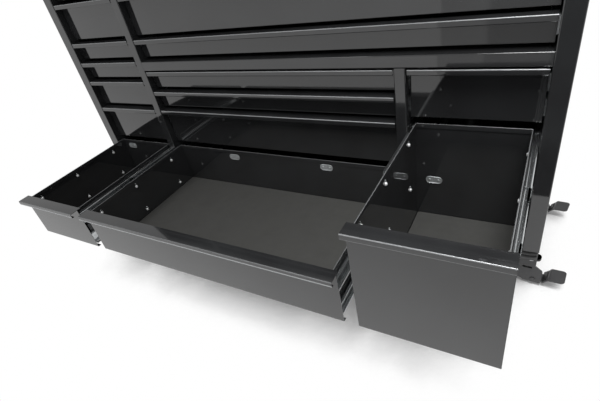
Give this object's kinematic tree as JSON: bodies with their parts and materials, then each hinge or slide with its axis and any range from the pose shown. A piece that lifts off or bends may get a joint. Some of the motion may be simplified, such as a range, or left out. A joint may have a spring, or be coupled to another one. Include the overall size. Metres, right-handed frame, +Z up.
{
  "type": "rolling tool cabinet",
  "caption": "Wide rolling steel tool cabinet with columns of full-extension drawers behind lipped pulls, on rigid and braked swivel casters, with a side push handle.",
  "frame": {"origin": "on the floor, under the middle of the whole box with the three bottom drawers pulled out", "axes": "+X to the right seen from the front, +Y to the back, +Z up"},
  "size_m": [1.9202, 1.067, 1.158],
  "materials": {
    "black_powder_coat": "gloss powder coat",
    "zinc_plate": "bright zinc plate",
    "drawer_mat": "matt ribbed mat",
    "caster_paint": "satin black",
    "caster_tyre": "matt",
    "lock_chrome": "polished"
  },
  "bodies": {
    "carcass": {"side_wall_left": "black_powder_coat", "side_wall_right": "black_powder_coat", "partition_left": "black_powder_coat", "partition_right": "black_powder_coat", "back_panel": "black_powder_coat", "base_pan": "black_powder_coat", "middle_shelf": "black_powder_coat", "top_deck": "black_powder_coat", "slide_cabinet_channels": "zinc_plate", "lock_body": "lock_chrome", "push_handle": "black_powder_coat", "handle_brackets": "black_powder_coat", "caster_channels": "black_powder_coat", "rigid_caster_brackets": "caster_paint", "swivel_caster_plates": "caster_paint", "caster_bolts": "zinc_plate"},
    "drawer_left_7": {"drawer_left_7": "black_powder_coat", "liner_left_7": "drawer_mat"},
    "slides_left_7": {"slides_left_7": "zinc_plate"},
    "drawer_left_6": {"drawer_left_6": "black_powder_coat"},
    "slides_left_6": {"slides_left_6": "zinc_plate"},
    "drawer_left_5": {"drawer_left_5": "black_powder_coat"},
    "slides_left_5": {"slides_left_5": "zinc_plate"},
    "drawer_left_4": {"drawer_left_4": "black_powder_coat"},
    "slides_left_4": {"slides_left_4": "zinc_plate"},
    "drawer_left_3": {"drawer_left_3": "black_powder_coat"},
    "slides_left_3": {"slides_left_3": "zinc_plate"},
    "drawer_left_2": {"drawer_left_2": "black_powder_coat"},
    "slides_left_2": {"slides_left_2": "zinc_plate"},
    "drawer_left_1": {"drawer_left_1": "black_powder_coat"},
    "slides_left_1": {"slides_left_1": "zinc_plate"},
    "drawer_centre_4": {"drawer_centre_4": "black_powder_coat", "liner_centre_4": "drawer_mat"},
    "slides_centre_4": {"slides_centre_4": "zinc_plate"},
    "drawer_centre_3": {"drawer_centre_3": "black_powder_coat"},
    "slides_centre_3": {"slides_centre_3": "zinc_plate"},
    "drawer_centre_2": {"drawer_centre_2": "black_powder_coat"},
    "slides_centre_2": {"slides_centre_2": "zinc_plate"},
    "drawer_centre_1": {"drawer_centre_1": "black_powder_coat"},
    "slides_centre_1": {"slides_centre_1": "zinc_plate"},
    "drawer_right_2": {"drawer_right_2": "black_powder_coat", "liner_right_2": "drawer_mat"},
    "slides_right_2": {"slides_right_2": "zinc_plate"},
    "drawer_right_1": {"drawer_right_1": "black_powder_coat"},
    "slides_right_1": {"slides_right_1": "zinc_plate"},
    "drawer_wide_3": {"drawer_wide_3": "black_powder_coat"},
    "slides_wide_3": {"slides_wide_3": "zinc_plate"},
    "drawer_wide_2": {"drawer_wide_2": "black_powder_coat"},
    "slides_wide_2": {"slides_wide_2": "zinc_plate"},
    "drawer_wide_1": {"drawer_wide_1": "black_powder_coat"},
    "slides_wide_1": {"slides_wide_1": "zinc_plate"},
    "rigid_wheel_front": {"rigid_wheel_front": "caster_tyre"},
    "rigid_wheel_rear": {"rigid_wheel_rear": "caster_tyre"},
    "swivel_fork_front": {"swivel_fork_front": "caster_paint"},
    "swivel_wheel_front": {"swivel_wheel_front": "caster_tyre"},
    "brake_pedal_front": {"brake_pedal_front": "caster_paint"},
    "swivel_fork_rear": {"swivel_fork_rear": "caster_paint"},
    "swivel_wheel_rear": {"swivel_wheel_rear": "caster_tyre"},
    "brake_pedal_rear": {"brake_pedal_rear": "caster_paint"},
    "lock_plug": {"lock_plug": "lock_chrome"}
  },
  "joints": [
    {"name": "pull_left_7", "type": "slide", "parent": "carcass", "child": "drawer_left_7", "axis": [0, -1, 0], "range_m": [-0.508, 0]},
    {"name": "extend_left_7", "type": "slide", "parent": "carcass", "child": "slides_left_7", "axis": [0, -1, 0], "range_m": [-0.254, 0]},
    {"name": "pull_left_6", "type": "slide", "parent": "carcass", "child": "drawer_left_6", "axis": [0, -1, 0], "range_m": [0, 0.508]},
    {"name": "extend_left_6", "type": "slide", "parent": "carcass", "child": "slides_left_6", "axis": [0, -1, 0], "range_m": [0, 0.254]},
    {"name": "pull_left_5", "type": "slide", "parent": "carcass", "child": "drawer_left_5", "axis": [0, -1, 0], "range_m": [0, 0.508]},
    {"name": "extend_left_5", "type": "slide", "parent": "carcass", "child": "slides_left_5", "axis": [0, -1, 0], "range_m": [0, 0.254]},
    {"name": "pull_left_4", "type": "slide", "parent": "carcass", "child": "drawer_left_4", "axis": [0, -1, 0], "range_m": [0, 0.508]},
    {"name": "extend_left_4", "type": "slide", "parent": "carcass", "child": "slides_left_4", "axis": [0, -1, 0], "range_m": [0, 0.254]},
    {"name": "pull_left_3", "type": "slide", "parent": "carcass", "child": "drawer_left_3", "axis": [0, -1, 0], "range_m": [0, 0.508]},
    {"name": "extend_left_3", "type": "slide", "parent": "carcass", "child": "slides_left_3", "axis": [0, -1, 0], "range_m": [0, 0.254]},
    {"name": "pull_left_2", "type": "slide", "parent": "carcass", "child": "drawer_left_2", "axis": [0, -1, 0], "range_m": [0, 0.508]},
    {"name": "extend_left_2", "type": "slide", "parent": "carcass", "child": "slides_left_2", "axis": [0, -1, 0], "range_m": [0, 0.254]},
    {"name": "pull_left_1", "type": "slide", "parent": "carcass", "child": "drawer_left_1", "axis": [0, -1, 0], "range_m": [0, 0.508]},
    {"name": "extend_left_1", "type": "slide", "parent": "carcass", "child": "slides_left_1", "axis": [0, -1, 0], "range_m": [0, 0.254]},
    {"name": "pull_centre_4", "type": "slide", "parent": "carcass", "child": "drawer_centre_4", "axis": [0, -1, 0], "range_m": [-0.508, 0]},
    {"name": "extend_centre_4", "type": "slide", "parent": "carcass", "child": "slides_centre_4", "axis": [0, -1, 0], "range_m": [-0.254, 0]},
    {"name": "pull_centre_3", "type": "slide", "parent": "carcass", "child": "drawer_centre_3", "axis": [0, -1, 0], "range_m": [0, 0.508]},
    {"name": "extend_centre_3", "type": "slide", "parent": "carcass", "child": "slides_centre_3", "axis": [0, -1, 0], "range_m": [0, 0.254]},
    {"name": "pull_centre_2", "type": "slide", "parent": "carcass", "child": "drawer_centre_2", "axis": [0, -1, 0], "range_m": [0, 0.508]},
    {"name": "extend_centre_2", "type": "slide", "parent": "carcass", "child": "slides_centre_2", "axis": [0, -1, 0], "range_m": [0, 0.254]},
    {"name": "pull_centre_1", "type": "slide", "parent": "carcass", "child": "drawer_centre_1", "axis": [0, -1, 0], "range_m": [0, 0.508]},
    {"name": "extend_centre_1", "type": "slide", "parent": "carcass", "child": "slides_centre_1", "axis": [0, -1, 0], "range_m": [0, 0.254]},
    {"name": "pull_right_2", "type": "slide", "parent": "carcass", "child": "drawer_right_2", "axis": [0, -1, 0], "range_m": [-0.508, 0]},
    {"name": "extend_right_2", "type": "slide", "parent": "carcass", "child": "slides_right_2", "axis": [0, -1, 0], "range_m": [-0.254, 0]},
    {"name": "pull_right_1", "type": "slide", "parent": "carcass", "child": "drawer_right_1", "axis": [0, -1, 0], "range_m": [0, 0.508]},
    {"name": "extend_right_1", "type": "slide", "parent": "carcass", "child": "slides_right_1", "axis": [0, -1, 0], "range_m": [0, 0.254]},
    {"name": "pull_wide_3", "type": "slide", "parent": "carcass", "child": "drawer_wide_3", "axis": [0, -1, 0], "range_m": [0, 0.508]},
    {"name": "extend_wide_3", "type": "slide", "parent": "carcass", "child": "slides_wide_3", "axis": [0, -1, 0], "range_m": [0, 0.254]},
    {"name": "pull_wide_2", "type": "slide", "parent": "carcass", "child": "drawer_wide_2", "axis": [0, -1, 0], "range_m": [0, 0.508]},
    {"name": "extend_wide_2", "type": "slide", "parent": "carcass", "child": "slides_wide_2", "axis": [0, -1, 0], "range_m": [0, 0.254]},
    {"name": "pull_wide_1", "type": "slide", "parent": "carcass", "child": "drawer_wide_1", "axis": [0, -1, 0], "range_m": [0, 0.508]},
    {"name": "extend_wide_1", "type": "slide", "parent": "carcass", "child": "slides_wide_1", "axis": [0, -1, 0], "range_m": [0, 0.254]},
    {"name": "roll_rigid_front", "type": "hinge", "parent": "carcass", "child": "rigid_wheel_front", "pos_m": [-0.89812, 0.0545, 0.0508], "axis": [0, 1, 0], "continuous": true},
    {"name": "roll_rigid_rear", "type": "hinge", "parent": "carcass", "child": "rigid_wheel_rear", "pos_m": [-0.89812, 0.4535, 0.0508], "axis": [0, 1, 0], "continuous": true},
    {"name": "swivel_front", "type": "hinge", "parent": "carcass", "child": "swivel_fork_front", "pos_m": [0.83488, 0.0545, 0.14], "axis": [0, 0, 1], "continuous": true},
    {"name": "roll_swivel_front", "type": "hinge", "parent": "swivel_fork_front", "child": "swivel_wheel_front", "pos_m": [0.79509, 0.05868, 0.0508], "axis": [0.1045, 0.9945, 0], "continuous": true},
    {"name": "brake_front", "type": "hinge", "parent": "swivel_fork_front", "child": "brake_pedal_front", "pos_m": [0.86869, 0.05095, 0.024], "axis": [0.1045, 0.9945, 0], "range_deg": [0, 12]},
    {"name": "swivel_rear", "type": "hinge", "parent": "carcass", "child": "swivel_fork_rear", "pos_m": [0.83488, 0.4535, 0.14], "axis": [0, 0, 1], "continuous": true},
    {"name": "roll_swivel_rear", "type": "hinge", "parent": "swivel_fork_rear", "child": "swivel_wheel_rear", "pos_m": [0.79548, 0.46045, 0.0508], "axis": [0.1736, 0.9848, 0], "continuous": true},
    {"name": "brake_rear", "type": "hinge", "parent": "swivel_fork_rear", "child": "brake_pedal_rear", "pos_m": [0.86836, 0.4476, 0.024], "axis": [0.1736, 0.9848, 0], "range_deg": [0, 12]},
    {"name": "lock_turn", "type": "hinge", "parent": "carcass", "child": "lock_plug", "pos_m": [0.71288, -0.0255, 1.13375], "axis": [0, 1, 0], "range_deg": [0, 90]}
  ],
  "couplings": [
    {"joint": "extend_left_7", "follows": "pull_left_7", "ratio": 0.5},
    {"joint": "extend_left_6", "follows": "pull_left_6", "ratio": 0.5},
    {"joint": "extend_left_5", "follows": "pull_left_5", "ratio": 0.5},
    {"joint": "extend_left_4", "follows": "pull_left_4", "ratio": 0.5},
    {"joint": "extend_left_3", "follows": "pull_left_3", "ratio": 0.5},
    {"joint": "extend_left_2", "follows": "pull_left_2", "ratio": 0.5},
    {"joint": "extend_left_1", "follows": "pull_left_1", "ratio": 0.5},
    {"joint": "extend_centre_4", "follows": "pull_centre_4", "ratio": 0.5},
    {"joint": "extend_centre_3", "follows": "pull_centre_3", "ratio": 0.5},
    {"joint": "extend_centre_2", "follows": "pull_centre_2", "ratio": 0.5},
    {"joint": "extend_centre_1", "follows": "pull_centre_1", "ratio": 0.5},
    {"joint": "extend_right_2", "follows": "pull_right_2", "ratio": 0.5},
    {"joint": "extend_right_1", "follows": "pull_right_1", "ratio": 0.5},
    {"joint": "extend_wide_3", "follows": "pull_wide_3", "ratio": 0.5},
    {"joint": "extend_wide_2", "follows": "pull_wide_2", "ratio": 0.5},
    {"joint": "extend_wide_1", "follows": "pull_wide_1", "ratio": 0.5}
  ]
}
